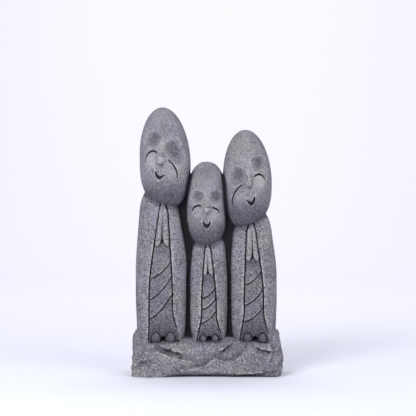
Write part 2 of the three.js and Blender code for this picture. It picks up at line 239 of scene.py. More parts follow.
def ledge_levels(ledge, x, z):
    """Distance from a ledge's line, signed distance above it, and the share of its length."""
    line = curve_through([(point[0], point[1]) for point in ledge[:3]], 16)
    x = x + LINE_WANDER * rock_noise(x, 0 * x, z, 9.0)
    z = z + LINE_WANDER * rock_noise(x, 0 * x + 40, z, 6.0)
    nearest = None
    for i in range(len(line) - 1):
        start, run = line[i], line[i + 1] - line[i]
        px, pz = x - start[0], z - start[1]
        t = np.clip((px * run[0] + pz * run[1]) / float(run @ run), 0, 1)
        gap = np.hypot(px - t * run[0], pz - t * run[1])
        above = (pz * run[0] - px * run[1]) / np.linalg.norm(run)
        here = (i + t) / (len(line) - 1)
        if nearest is None:
            nearest, level, share = gap, above, here
        else:
            closer = gap < nearest
            level = np.where(closer, above, level)
            share = np.where(closer, here, share)
            nearest = np.minimum(gap, nearest)
    return nearest, level, share


def break_ledge(ledge):
    side, depth, reach = ledge[3:]
    xs, zs = [point[0] for point in ledge[:3]], [point[1] for point in ledge[:3]]
    pad = reach * 2
    window = Window(
        (min(xs) - pad, -base_half[1] - 4, max(min(zs) - pad, -4)),
        (max(xs) + pad, -base_half[1] + LEDGE_REACH_IN + 2, max(zs) + pad),
    )
    x, z = np.broadcast_arrays(window.x[:, 0, :], window.z[0])
    nearest, level, share = ledge_levels(ledge, x, z)
    sunk = smooth(level * side, -LIP_SOFTNESS, LIP_SOFTNESS) * np.exp(-((nearest / reach) ** 2))
    sunk = sunk * smooth(share, -0.01, 0.25) * smooth(share, 1.01, 0.75)
    lip = LIP_RISE * np.exp(-((nearest / LIP_WIDTH) ** 2))
    front = smooth(window.y, -base_half[1] + LEDGE_REACH_IN, -base_half[1] + LEDGE_REACH_IN / 2)
    field[window.cut] += (sunk * depth - lip)[:, None, :] * front


# A robe is two long round sleeves from shoulder to ground with a lower strip of cloth between them. Its
# folds lap over each other and fall from the right sleeve to the left. The back is plain and round.

# A strip's edges are given at the top, the middle and the foot, and a fold's level at its high and its
# low end.
TALL.update(
    shoulder={"drop": 0.03, "left": 0.018, "right": 0.032},
    strip={"left": (-0.0085, -0.0515, -0.053), "right": (0.027, 0.0475, 0.077), "top": 0.62},
    folds=((0.342, 0.266), (0.279, 0.173), (0.201, 0.091)),
)
SECOND.update(
    shoulder={"drop": 0.04, "left": 0.01, "right": 0.028},
    strip={"left": (-0.033, -0.0445, -0.064), "right": (0.008, 0.046, 0.072), "top": 0.585},
    folds=((0.334, 0.263), (0.246, 0.167), (0.162, 0.089)),
)
CHILD.update(
    shoulder={"drop": 0.04, "left": 0.012, "right": 0.012},
    strip={"left": (-0.022, -0.04, -0.064), "right": (0.012, 0.042, 0.076), "top": 0.57},
    folds=((0.296, 0.237), (0.241, 0.173), (0.169, 0.097)),
)
NECK_DRAW = 0.36
NECK_RISE = 0.1  # the robe runs up into the head by this share
HEM_DRAW = 0.006
SLEEVE_STEP = 4.5
STRIP_BOW = 1.6
FOLD_SAG = 0.012
SLEEVE_ROUND = 2.4
EDGE_WEAR = 1.6
FOLD_LAP = 2.8
FOLD_REACH = 8.0
CUT_RADIUS = 0.9
FOLD_CUT_RADIUS = 1.1
CUT_DEPTH = 2.2
PALM_CLEARANCE = 3.0
TIP_CLOSING = 0.5


def lerp(a, b, t):
    return a + (b - a) * t


def true_distance(form):
    """Turns a form that is zero on its surface into millimetres near that surface."""
    gx, gy, gz = np.gradient(form, GRIT)
    steep = np.sqrt(gx * gx + gy * gy + gz * gz)
    return np.clip(form / np.maximum(steep, 1e-4), -SKIN * 2, SKIN * 2)


def robe_half(figure, share, side):
    narrow = figure["shoulder"]["left" if side < 0 else "right"]
    shoulder = smooth(share, 0.3, figure["head"]["chin"] + 0.05)
    hem = smooth(share, 0.2, 0.0) * HEM_DRAW
    return (ROBE_HALF_WIDTH - narrow * shoulder - hem) * figure["height"]


def strip_edge(figure, share, side):
    top, middle, foot = figure["strip"]["left" if side < 0 else "right"]
    upper = smooth(share, 0.2, figure["strip"]["top"])
    lower = smooth(share, 0.16, 0.0) ** 1.4
    hands = figure["hands"]
    tips = TIP_CLOSING * smooth(share, hands["top"] - 0.05, hands["top"] + 0.01)
    return lerp(lerp(lerp(middle, top, upper), foot, lower), hands["middle"], tips) * figure["height"]


def robe_half_depth(figure, share):
    return figure["depth"] / 2 * (1 - NECK_DRAW * smooth(share, 0.35, figure["head"]["chin"]))


def strip_floor(figure, share):
    """How far back the strip of cloth lies at its edges."""
    return FIGURES_Y - robe_half_depth(figure, share) + SLEEVE_STEP


def fold_line(figure, high, low_end, across):
    """The height of a fold's lower edge, as a share, over the strip from its left to its right edge."""
    t = np.clip(across, -0.15, 1.15)
    return lerp(low_end, high, t) - FOLD_SAG * np.sin(np.pi * np.clip(t, 0, 1))


def make_robe(figure):
    height, chin = figure["height"], figure["head"]["chin"]
    m = head_measures(figure)
    wide = half_robe(figure) + 4
    top_share = chin + NECK_RISE
    window = Window(
        (figure["x"] - wide, FIGURES_Y - figure["depth"] / 2 - 5, BASE_HEIGHT - 12),
        (figure["x"] + wide, FIGURES_Y + figure["depth"] / 2 + 5, BASE_HEIGHT + (top_share + 0.02) * height),
    )
    z = window.z
    share = (z - BASE_HEIGHT) / height
    round_share = chin - figure["shoulder"]["drop"]
    close = (1 - np.clip((share - round_share) / (top_share - round_share), 0, 0.97) ** 2.5) ** 0.4
    neck = m["x"] - figure["x"]
    x = (window.x - figure["x"] - neck * (1 - close)) / close
    y = (window.y - FIGURES_Y) / close
    half_depth = robe_half_depth(figure, share)
    half = np.where(x < 0, robe_half(figure, share, -1), robe_half(figure, share, 1))
    wide_part, deep_part = np.abs(x / half) ** SLEEVE_ROUND, np.abs(y / half_depth) ** SLEEVE_ROUND
    body = true_distance((wide_part + deep_part) ** (1 / SLEEVE_ROUND) - 1)

    left, right = strip_edge(figure, share, -1), strip_edge(figure, share, 1)
    across = (x - left) / (right - left)
    floor = -half_depth + SLEEVE_STEP - STRIP_BOW * np.sin(np.pi * np.clip(across, 0, 1))
    lap = 0
    for high, low_end in figure["folds"]:
        above = (share - fold_line(figure, high, low_end, across)) * height
        lap = lap + FOLD_LAP * smooth(above, -0.3, 0.9) * np.exp(-np.maximum(above, 0) / FOLD_REACH)
    strip = np.maximum(np.maximum(left - x, x - right), y - (floor - lap))
    body = -soft_low(-body, strip, EDGE_WEAR)
    body = np.maximum(body, z - (BASE_HEIGHT + top_share * height))
    window.join(body, 2.0)


def cut_strip_edges(figure):
    """The deep narrow cuts where each sleeve meets the strip, and under each fold."""
    height = figure["height"]
    inward = np.array((0.0, 1.0, 0.0))
    for side in (-1, 1):
        shares = np.linspace(0.0, figure["head"]["chin"] + 0.05, 24)
        xs = figure["x"] + strip_edge(figure, shares, side)
        start = strip_floor(figure, shares) - PALM_CLEARANCE
        points = np.stack([xs, start, BASE_HEIGHT + shares * height], 1)
        cut_line(points, CUT_RADIUS, CUT_DEPTH + PALM_CLEARANCE, inward, even=True)
    for high, low_end in figure["folds"]:
        t = np.linspace(0, 1, 8)
        shares = fold_line(figure, high, low_end, t)
        xs = figure["x"] + lerp(strip_edge(figure, low_end, -1), strip_edge(figure, high, 1), t)
        points = np.stack([xs, strip_floor(figure, shares) - 1.2, BASE_HEIGHT + shares * height - 0.6], 1)
        cut_line(points, FOLD_CUT_RADIUS, CUT_DEPTH, inward, even=True)


def along_line(window, points):
    """Distance to a line through points, and the share of the line's length at the nearest place."""
    x, y, z = window.x, window.y, window.z
    best = None
    share = None
    steps = len(points) - 1
    for i in range(steps):
        a = points[i]
        d = points[i + 1] - a
        px, py, pz = x - a[0], y - a[1], z - a[2]
        t = np.clip((px * d[0] + py * d[1] + pz * d[2]) / max(float(d @ d), 1e-6), 0, 1)
        gap = np.sqrt((px - t * d[0]) ** 2 + (py - t * d[1]) ** 2 + (pz - t * d[2]) ** 2)
        here = (i + t) / steps
        if best is None:
            best, share = gap, here
        else:
            share = np.where(gap < best, here, share)
            best = np.minimum(gap, best)
    return best, share


def cut_line(points, radius, depth, inward, even=False, fat_middle=0.0):
    """A knife cut along a line: round-bottomed, as deep as depth and fine at its ends."""
    pad = radius * (1 + fat_middle) + depth + 3
    window = Window(points.min(0) - pad, points.max(0) + pad)
    layers = max(math.ceil(depth / radius) + 1, 3)
    for into in np.linspace(0, depth - radius, layers):
        gap, share = along_line(window, points + inward * into)
        bow = np.clip(np.sin(np.pi * share), 0, 1)
        ends = 1.0 if even else 0.3 + 0.7 * bow ** 0.5
        window.carve(gap - radius * ends * (1 + fat_middle * bow ** 2), 0.5)


# The hands are pressed together in prayer below the chin: two long pointed forms side by side, joined
# above and parted below, where a dark notch shows between the heels of the palms.

TALL["hands"] = {"top": 0.59, "bottom": 0.4, "middle": 0.0035, "half_width": 0.034}
SECOND["hands"] = {"top": 0.556, "bottom": 0.372, "middle": -0.006, "half_width": 0.032}
CHILD["hands"] = {"top": 0.538, "bottom": 0.36, "middle": -0.006, "half_width": 0.0285}
HAND_RELIEF = 10.0
PALM_SQUARENESS = 2.6
HEEL_NOTCH = 0.2
PALM_OVERLAP = 0.3
PALM_JOIN = 1.6
HAND_SIDE_SPACE = 0.2


def make_hands(figure):
    hands, height = figure["hands"], figure["height"]
    z_top, z_low = BASE_HEIGHT + hands["top"] * height, BASE_HEIGHT + hands["bottom"] * height
    reach = hands["half_width"] * height * 1.6
    window = Window(
        (figure["x"] - reach, FIGURES_Y - figure["depth"] / 2 - 10, z_low - 6),
        (figure["x"] + reach, FIGURES_Y, z_top + 4),
    )
    share = (window.z - BASE_HEIGHT) / height
    up = np.clip((window.z - z_low) / (z_top - z_low), 0, 1)
    floor = strip_floor(figure, share)
    for side in (-1, 1):
        middle = hands["middle"] * height - side * (PALM_OVERLAP + PALM_JOIN * up ** 2)
        edge = strip_edge(figure, share, side) - side * HAND_SIDE_SPACE
        half = np.abs(edge - middle) / 2
        x = (window.x - figure["x"] - (middle + edge) / 2) / half
        heel = z_low + HEEL_NOTCH * (z_top - z_low) * np.clip((1 - x * side) / 2, 0, 1) ** 3
        long = (window.z - heel) / (z_top - heel) * 2 - 1
        y = (window.y - floor - 1.0) / (HAND_RELIEF * lerp(1.05, 0.8, up))
        power = PALM_SQUARENESS
        palm = (np.abs(x) ** power + np.abs(y) ** power + np.abs(long) ** 9) ** (1 / power) - 1
        window.join(true_distance(palm), 0.4)


def robe_front(figure, x, y, z):
    """One on the strip of cloth between the sleeves, zero elsewhere."""
    share = (z - BASE_HEIGHT) / figure["height"]
    across = x - figure["x"]
    left, right = strip_edge(figure, share, -1), strip_edge(figure, share, 1)
    inside = smooth(across, left - 1, left + 2) * smooth(across, right + 1, right - 2)
    return inside * smooth(y, FIGURES_Y - 8, FIGURES_Y - 14) * smooth(share, -0.012, 0.0)


def hand_cover(figure, x, y, z):
    """One on the palms, zero elsewhere."""
    hands, height = figure["hands"], figure["height"]
    share = (z - BASE_HEIGHT) / height
    across = x - figure["x"]
    left, right = strip_edge(figure, share, -1), strip_edge(figure, share, 1)
    inside = smooth(across, left, left + 1.5) * smooth(across, right, right - 1.5)
    inside = inside * smooth(share, hands["bottom"] - 0.01, hands["bottom"] + 0.02)
    floor = strip_floor(figure, share)
    return inside * (share < hands["top"]) * smooth(y, floor - 1, floor - 3.5)


# The feet are two small egg-shaped toes that look out from under the hem, which arches over each one.

TALL["feet"] = {"left": -0.022, "right": 0.04, "half_width": 0.0202, "half_height": 0.026}
SECOND["feet"] = {"left": -0.029, "right": 0.041, "half_width": 0.0202, "half_height": 0.026}
CHILD["feet"] = {"left": -0.03, "right": 0.037, "half_width": 0.0192, "half_height": 0.024}
FOOT_REACH = 7.0
FOOT_SPACE = 1.3
HEM_LIP = 1.1
NICHE_DEPTH = 9.0
NOTCH_HALF_WIDTH = 4.6
NOTCH_HEIGHT = 7.5


def make_feet(figure):
    feet, height = figure["feet"], figure["height"]
    front = FIGURES_Y - figure["depth"] / 2
    tall, wide = feet["half_height"] * height, feet["half_width"] * height
    centre_z = BASE_HEIGHT + tall * 0.55
    window = Window(
        (figure["x"] + feet["left"] * height - wide - 6, front - FOOT_REACH - 5, BASE_HEIGHT - 10),
        (figure["x"] + feet["right"] * height + wide + 6, front + 18, centre_z + tall + 8),
    )
    eggs = []
    for share in (feet["left"], feet["right"]):
        x = window.x - figure["x"] - share * height
        y = window.y - front + 1
        z = window.z - centre_z
        narrow = 1 - 0.2 * smooth(z, 0, tall)
        eggs.append((x / narrow, y, z))
    between_x = (window.x - figure["x"] - (feet["left"] + feet["right"]) / 2 * height) / NOTCH_HALF_WIDTH
    between_z = (window.z - BASE_HEIGHT) / NOTCH_HEIGHT
    between = np.sqrt(between_x ** 2 + between_z ** 2 + 0 * window.y) - 1
    notch = np.maximum(between * NOTCH_HALF_WIDTH, window.y - front - NICHE_DEPTH)
    above_ground = BASE_HEIGHT + 0.5 - window.z
    for x, y, z in eggs:
        rim = FOOT_SPACE + HEM_LIP
        hem = np.sqrt((x / (wide + rim)) ** 2 + (z / (tall + rim)) ** 2 + (y / NICHE_DEPTH) ** 2) - 1
        window.join(np.maximum(hem * (wide + rim), above_ground), 1.5)
    for x, y, z in eggs:
        niche = np.sqrt((x / (wide + FOOT_SPACE)) ** 2 + (z / (tall + FOOT_SPACE)) ** 2) - 1
        niche = np.maximum(niche * (wide + FOOT_SPACE) + 0 * y, y - NICHE_DEPTH)
        window.carve(np.maximum(niche, above_ground), 0.5)
    window.carve(np.maximum(notch, above_ground), 0.5)
    for x, y, z in eggs:
        toe = np.sqrt((x / wide) ** 2 + (z / tall) ** 2 + (y / FOOT_REACH) ** 2) - 1
        window.join(toe * wide, 0.4)


# A head is an egg with a blunt jaw. The face is carved in its front: hollow brows, a ridge of a nose with
# a round tip, two closed laughing eyes and a smiling mouth with a raised lower lip.

# A face's points are shares of the head's half width, from the middle of its widest level. A nose has its
# place, its tilt and how pale it was rubbed; a brow hollow its place, tilt, length and strength.
TALL.update(
    head={"offset": 0.015, "half_width": 0.1095, "widest": 0.771, "chin": 0.573},
    head_lean=-0.05,
    jaw_tilt=-0.17,
    crown=2.0,
    eyes=(((-0.76, 0.0), (-0.46, 0.35), (-0.28, 0.26)), ((0.14, 0.01), (0.41, -0.3), (0.5, -0.72))),
    mouth=((-0.36, -0.38), (-0.22, -0.68), (0.04, -0.54)),
    nose=(-0.12, 0.0, 0.04, 0.6),
    brows=((-0.42, 0.8, -0.5, 0.34, 0.75), (0.37, 0.36, 0.4, 0.5, 1.0)),
)
SECOND.update(
    head={"offset": -0.028, "half_width": 0.116, "widest": 0.759, "chin": 0.54},
    head_lean=-0.04,
    jaw_tilt=0.22,
    crown=2.0,
    eyes=(((-0.23, -0.18), (-0.53, -0.49), (-0.61, -1.1)), ((0.26, 0.13), (0.47, 0.23), (0.71, 0.01))),
    mouth=((-0.1, -0.74), (0.13, -0.96), (0.31, -0.55)),
    nose=(0.04, -0.12, -0.02, 0.15),
    brows=((0.41, 0.68, 0.15, 0.34, 0.8), (-0.42, 0.18, -0.4, 0.4, 0.85)),
)
CHILD.update(
    head={"offset": -0.012, "half_width": 0.115, "widest": 0.765, "chin": 0.525},
    head_lean=0.0,
    jaw_tilt=0.0,
    crown=2.3,
    eyes=(((-0.73, -0.41), (-0.46, -0.11), (-0.27, -0.13)), ((0.27, -0.21), (0.5, -0.29), (0.64, -0.49))),
    mouth=((-0.24, -0.79), (0.01, -1.1), (0.26, -0.79)),
    nose=(0.02, -0.3, 0.0, 0.4),
    brows=((-0.42, 0.33, -0.1, 0.32, 0.8), (0.45, 0.31, 0.1, 0.32, 0.9)),
)
HEAD_DEPTH_TO_WIDTH = 0.88
HEAD_FORWARD = 6.0
JAW_ROUNDNESS = 2.7
BROW_DEPTH = 4.6
CHEEK_SWELL = 1.4
CHEEK_WIDTH = 0.26
CHIN_FOLLOWS = 0.15
BROW_HALF_WIDTH = 0.25
BROW_FADE = 0.85
NOSE_RELIEF = 5.8
BRIDGE_RADII = (0.13, 0.07)  # at the tip and at the top, as shares of the head's half width
NOSE_TIP = (0.14, 0.155)  # the half width and half height of the round tip, as such shares
EYE_RADIUS = 1.5
EYE_DEPTH = 3.2
LIP_RADIUS = 1.5
LIP_DROP = 6.0
MOUTH_SWELL = 0.75
CHEEK_BRUSH_AND_LIGHT = 0.38


def head_measures(figure):
    head, height = figure["head"], figure["height"]
    width = head["half_width"] * height
    return {
        "x": figure["x"] + head["offset"] * height,
        "y": FIGURES_Y - HEAD_FORWARD,
        "z": BASE_HEIGHT + head["widest"] * height,
        "width": width,
        "depth": width * HEAD_DEPTH_TO_WIDTH,
        "up": (1 - head["widest"]) * height,
        "down": (head["widest"] - head["chin"]) * height,
    }


def head_form(figure, x, y, z):
    """Zero on the plain egg and below zero inside it."""
    m = head_measures(figure)
    lift = z - m["z"]
    across = x - m["x"] - figure["head_lean"] * np.where(lift > 0, lift, lift * CHIN_FOLLOWS)
    for _ in range(3):
        level = lift / np.where(lift > 0, m["up"], m["down"])
        lift = z - m["z"] - figure["jaw_tilt"] * across * smooth(-level, 0.1, 1)
    level = lift / np.where(lift > 0, m["up"], m["down"])
    power = np.where(level > 0, figure["crown"], JAW_ROUNDNESS)
    round_ = np.sqrt((across / m["width"]) ** 2 + ((y - m["y"]) / m["depth"]) ** 2)
    return (round_ ** power + np.abs(level) ** power) ** (1 / power) - 1


def brow_hollow(figure, u, v):
    total = 0
    for bx, bz, tilt, long, strength in figure["brows"]:
        du, dv = u - bx, v - bz
        along = dv * math.cos(tilt) - du * math.sin(tilt)
        beside = du * math.cos(tilt) + dv * math.sin(tilt)
        upper = smooth(along / long, 1.1, 0.35)
        lower = np.exp(-((np.minimum(along, 0) / (long * BROW_FADE)) ** 2))
        total = total + strength * upper * lower * np.exp(-(np.abs(beside / BROW_HALF_WIDTH) ** 2.6))
    return total * BROW_DEPTH


def face_point(figure, u, v):
    """The point on the front of the face at shares u and v of the head's half width."""
    m = head_measures(figure)
    x, z = m["x"] + u * m["width"], m["z"] + v * m["width"]
    near, far = m["y"] - m["depth"] * 1.1, m["y"]
    for _ in range(24):
        y = (near + far) / 2
        if head_form(figure, np.array([x]), np.array([y]), np.array([z]))[0] > 0:
            near = y
        else:
            far = y
    return np.array((x, far + float(brow_hollow(figure, u, v)) * 0.9, z))


def make_head(figure):
    m = head_measures(figure)
    window = Window(
        (m["x"] - m["width"] - 8, m["y"] - m["depth"] - 8, m["z"] - m["down"] - 14),
        (m["x"] + m["width"] + 8, m["y"] + m["depth"] + 6, m["z"] + m["up"] + 5),
    )
    egg = true_distance(head_form(figure, window.x, window.y, window.z))
    u = (window.x - m["x"]) / m["width"]
    v = (window.z - m["z"]) / m["width"]
    front = smooth(window.y, m["y"] - m["depth"] * 0.15, m["y"] - m["depth"] * 0.45)
    egg = egg + brow_hollow(figure, u, v) * front
    for eye in figure["eyes"]:
        cu = (eye[0][0] + eye[2][0]) / 2 * 0.96
        cv = (eye[0][1] + eye[2][1]) / 2 - 0.16
        swell = np.exp(-((u - cu) / CHEEK_WIDTH) ** 2 - ((v - cv) / CHEEK_WIDTH) ** 2)
        egg = egg - CHEEK_SWELL * swell * front
    window.join(egg, 0.6)


def make_nose(figure):
    m = head_measures(figure)
    u, v, tilt = figure["nose"][:3]
    size = m["width"]
    tip = face_point(figure, u, v)
    top = face_point(figure, u + tilt, v + 0.42)
    window = Window(np.minimum(tip, top) - 12, np.maximum(tip, top) + 12)
    gap, share = along_line(window, np.array([tip, top]))
    ridge = gap - size * lerp(*BRIDGE_RADII, share)
    window.join(ridge, 8.0)
    ball = np.sqrt(
        ((window.x - tip[0]) / (size * NOSE_TIP[0])) ** 2
        + ((window.y - tip[1]) / NOSE_RELIEF) ** 2
        + ((window.z - tip[2]) / (size * NOSE_TIP[1])) ** 2
    ) - 1
    window.join(ball * size * 0.1, 1.6)


def pale_spots(figure):
    """The places on a face that a dry brush touched, with painted light on the outer cheek, each with its
    reach in millimetres.
    """
    width = head_measures(figure)["width"]
    mouth = figure["mouth"][1]
    u, v, tilt, strength = figure["nose"]
    nose = face_point(figure, u, v) - (0.0, NOSE_RELIEF, 0.0)
    lip = face_point(figure, mouth[0], mouth[1] - 0.13)
    spots = [(nose, width * 0.19, strength), (lip, width * 0.11, 0.3)]
    for along in (0.15, 0.3, 0.45):
        bridge = face_point(figure, u + tilt * along / 0.45, v + along) - (0.0, NOSE_RELIEF * 0.6, 0.0)
        spots.append((bridge, width * 0.14, 0.2))
    for toward, eye in zip((-1, 1), figure["eyes"]):
        (outer_u, outer_v), (inner_u, inner_v) = eye[0], eye[2]
        cheek = face_point(figure, (outer_u + inner_u) / 2, (outer_v + inner_v) / 2 - 0.2)
        # Each cheek is brushed pale, and the cheek on the outer side of the group, which the lamps reach,
        # paler still as painted light.
        spots.append((cheek, width * 0.45, CHEEK_BRUSH_AND_LIGHT * (0.6 + 0.4 * toward * figure["side"])))
    return spots


def carve_face(figure):
    m = head_measures(figure)
    centre = np.array((m["x"], m["y"], m["z"]))
    for eye in figure["eyes"]:
        flat = curve_through(eye, 12)
        points = np.array([face_point(figure, u, v) for u, v in flat])
        inward = (centre - points.mean(0)) * (1, 1, 0)
        inward = inward / np.linalg.norm(inward)
        cut_line(points, EYE_RADIUS, EYE_DEPTH, inward)
    flat = curve_through(figure["mouth"], 12)
    points = np.array([face_point(figure, u, v) for u, v in flat])
    bow = np.sin(np.linspace(0, np.pi, len(points)))[:, None]
    lip = points - bow * np.array((0.0, 0.3, LIP_DROP))
    window = Window(lip.min(0) - 5, lip.max(0) + 5)
    window.join(along_line(window, lip)[0] - LIP_RADIUS, 1.6)
    inward = (centre - points.mean(0)) * (1, 1, 0)
    cut_line(points, EYE_RADIUS, EYE_DEPTH, inward / np.linalg.norm(inward), fat_middle=MOUTH_SWELL)


# Between the figures the casting runs on as one web, from just behind the middle of the heads, so the
# narrow gaps between neighbours are closed.

WEB_THICKNESS = 25.0
WEB_SETBACK = 1.0
WEB_TOP = 0.72  # a share of the small head above its widest level


def make_web():
    m = head_measures(CHILD)
    top = m["z"] + m["up"] * WEB_TOP
    half = (SECOND["x"] - TALL["x"]) / 2
    centre_x = (SECOND["x"] + TALL["x"]) / 2
    front = m["y"] + WEB_SETBACK
    window = Window(
        (centre_x - half - 4, front - 6, BASE_HEIGHT - 12),
        (centre_x + half + 4, front + WEB_THICKNESS + 6, top + 6),
    )
    x, y, z = window.x - centre_x, window.y - front - WEB_THICKNESS / 2, window.z
    slab = np.maximum(np.abs(y) - WEB_THICKNESS / 2, np.abs(x) - half)
    slab = -soft_low(-slab, -(z - top) + 0 * y, 6.0)
    window.join(slab, 2.0)


# The forms are joined in this order because each cut goes only through what stands already.

make_base()
for ledge in LEDGES:
    break_ledge(ledge)
for figure in FIGURES:
    make_robe(figure)
make_web()
for figure in FIGURES:
    make_hands(figure)
    cut_strip_edges(figure)
    make_feet(figure)
    make_head(figure)
    make_nose(figure)
    carve_face(figure)


# The finished field becomes one closed skin. Hollows and edges are read from how much stone lies round
# each point: deep cuts and gaps kept the dark wash and are painted darker as shade, and worn edges were
# rubbed pale.

NEAR_REACH = 2.0
FAR_REACH = 15.0
ROBES_SHADE_EASED = 0.055  # the painted shade and wash are eased lighter between the robes than between the heads,
FOOT_SHADE_EASED = 0.045  # and lighter again where the robes meet the base
STRIP_DARKENING = 0.5
HEM_DARKENING = 0.95
HEEL_PAINTED_SHADOW = 0.7
BROW_WASH_AND_SHADE = 0.86
HEAD_WASH, CROWN_DARKENING = 0.1, 0.06
LEDGE_WASH_AND_SHADE = 0.7
BROW_RIM_RUB = 0.22
HAND_RUB = 0.17
LEDGE_LIP_RUB = 0.55


def blur(block, reach):
    """Two passes of a moving average along each axis, which comes close to a bell curve."""
    steps = max(int(round(reach / GRIT)), 1)
    for axis in range(3):
        for _ in range(2):
            sides = [(steps + 1, steps) if i == axis else (0, 0) for i in range(3)]
            padded = np.pad(block, sides, mode="edge")
            total = np.cumsum(padded, axis=axis, dtype=np.float32)
            upper = [slice(None)] * 3
            lower = [slice(None)] * 3
            upper[axis] = slice(2 * steps + 1, None)
            lower[axis] = slice(0, -(2 * steps + 1))
            block = (total[tuple(upper)] - total[tuple(lower)]) / (2 * steps + 1)
    return block


def sample(block, places):
    """The value of a block of the field at places given in millimetres."""
    at = (places - low) / GRIT
    whole = np.clip(np.floor(at).astype(int), 0, counts - 2)
    part = at - whole
    total = 0
    for corner in range(8):
        step = np.array([(corner >> i) & 1 for i in range(3)])
        index = whole + step
        weight = np.prod(np.where(step == 1, part, 1 - part), axis=1)
        total = total + block[index[:, 0], index[:, 1], index[:, 2]] * weight
    return total


def write_marks(mesh):
    """Writes on each corner of the mesh, in place of what stood there, how its stone was treated and where
    shade and light are painted on it.
    """
    spots = np.empty(len(mesh.vertices) * 3, dtype=np.float32)
    mesh.vertices.foreach_get("co", spots)
    spots = spots.reshape(-1, 3) / MM
    x, y, z = spots.T
    face_skin = np.zeros(len(spots))
    wash_and_shade = np.zeros(len(spots))
    rubbed_and_lit = np.zeros(len(spots))
    for figure in FIGURES:
        m = head_measures(figure)
        on_head = smooth(head_form(figure, x, y, z), 0.14, 0.05)
        face_skin = np.maximum(face_skin, on_head)
        u, v = (x - m["x"]) / m["width"], (z - m["z"]) / m["width"]
        front = smooth(y, m["y"], m["y"] - m["depth"] * 0.4)
        sunk = brow_hollow(figure, u, v) / BROW_DEPTH
        hollow = np.clip(sunk * 1.25, 0, 1) ** 1.3
        rim = BROW_RIM_RUB * np.exp(-(((sunk - 0.12) / 0.08) ** 2)) * on_head * front
        rubbed_and_lit = np.maximum(rubbed_and_lit, rim)
        # The jaw and the underside of the chin are painted darker as shade; the head is darker a little all
        # over and more towards the crown.
        jaw = smooth(-(z - m["z"]) / m["down"], 0.25, 0.8)
        crown = HEAD_WASH + smooth((z - m["z"]) / m["up"], 0.35, 0.8) * CROWN_DARKENING
        # A painted shadow just under the tip of the nose.
        nose_x, nose_z = figure["nose"][0], figure["nose"][1] - 0.2
        under_nose_shadow = np.exp(-(((u - nose_x) / 0.11) ** 2) - ((v - nose_z) / 0.065) ** 2) * front
        share = (z - BASE_HEIGHT) / figure["height"]
        cover = hand_cover(figure, x, y, z)
        strip = robe_front(figure, x, y, z) * (1 - on_head)
        # The strip between the sleeves is darker, less on the palms and most towards the hem.
        hem = smooth(share, 0.2, 0.04) * strip
        # A painted shadow on the strip just under the heels of the palms.
        heels = figure["hands"]["bottom"]
        shade = smooth(share, heels - 0.07, heels - 0.02) * smooth(share, heels + 0.012, heels) * strip
        washes_and_shades = (
            wash_and_shade,
            strip * (1 - 0.6 * cover) * STRIP_DARKENING,
            shade * HEEL_PAINTED_SHADOW,
            # Wash and painted shade in the brow hollows.
            hollow * on_head * front * BROW_WASH_AND_SHADE,
            np.maximum(jaw, crown) * on_head,
            hem * HEM_DARKENING,
            under_nose_shadow * on_head,
        )
        wash_and_shade = np.maximum.reduce(washes_and_shades)
        for place, reach, strength in pale_spots(figure):
            gap = np.sqrt(((spots - place) ** 2).sum(1))
            rubbed_and_lit = np.maximum(rubbed_and_lit, strength * smooth(gap, reach, reach * 0.25))
        rubbed_and_lit = np.maximum(rubbed_and_lit, HAND_RUB * cover)
    for ledge in LEDGES:
        nearest, level = ledge_levels(ledge, x, z)[:2]
        front = smooth(y, -base_half[1] + 22, -base_half[1] + 14) * (z < BASE_HEIGHT + 6)
        side = level * ledge[3]
        broken = smooth(rock_noise(x, y, z, 5.0), -0.3, 0.3)
        lip = np.exp(-(((side + 1.0) / 0.9) ** 2)) * (nearest < 4)
        # The broken face beside each lip is darker, as wash and painted shade.
        on_break = np.exp(-(((side - 2.5) / 3.0) ** 2)) * (nearest < 8)
        rubbed_and_lit = np.maximum(rubbed_and_lit, LEDGE_LIP_RUB * lip * front * broken)
        wash_and_shade = np.maximum(wash_and_shade, LEDGE_WASH_AND_SHADE * on_break * front)
    # The painted shade and wash from the stone round each point are eased lighter low between the robes.
    shade_eased = ROBES_SHADE_EASED * smooth(z, 190, 160) + FOOT_SHADE_EASED * smooth(z, BASE_HEIGHT + 36, BASE_HEIGHT)
    marks = {
        "near_stone": sample(near_block, spots),
        "far_stone": sample(far_block, spots) - shade_eased,
        "face_skin": face_skin,
        "rock": smooth(z, BASE_HEIGHT + 6, BASE_HEIGHT - 1),
        "wash_and_painted_shade": wash_and_shade,
        "dry_brush_and_painted_light": rubbed_and_lit,
    }
    for name, values in marks.items():
        if name in mesh.attributes:
            mesh.attributes.remove(mesh.attributes[name])
        attribute = mesh.attributes.new(name, "FLOAT", "POINT")
        attribute.data.foreach_set("value", values.astype(np.float32))


grid = openvdb.FloatGrid(background=SKIN)
grid.copyFromArray(np.clip(field, -SKIN, SKIN))
places, triangles, quads = grid.convertToPolygons(isovalue=0.0, adaptivity=0.0)
places = places * GRIT + low
places[:, 2] = np.maximum(places[:, 2], 0.0)
faces = [tuple(q[::-1]) for q in quads.tolist()] + [tuple(t[::-1]) for t in triangles.tolist()]
skin = bpy.data.meshes.new("statue_skin")
skin.from_pydata((places * MM).tolist(), [], faces)
skin.validate()
solid = np.clip(0.5 - field / (2 * GRIT), 0, 1)
near_block, far_block = blur(solid, NEAR_REACH), blur(solid, FAR_REACH)
write_marks(skin)
statue = bpy.data.objects.new("jizo_statue_carved", skin)
bpy.context.scene.collection.objects.link(statue)


# The cast surface is pitted all over, as cement and stone dust leave it: low lumps a few millimetres wide
# with small open pits between them. The base is rougher than the robes, and the faces are smoothest.

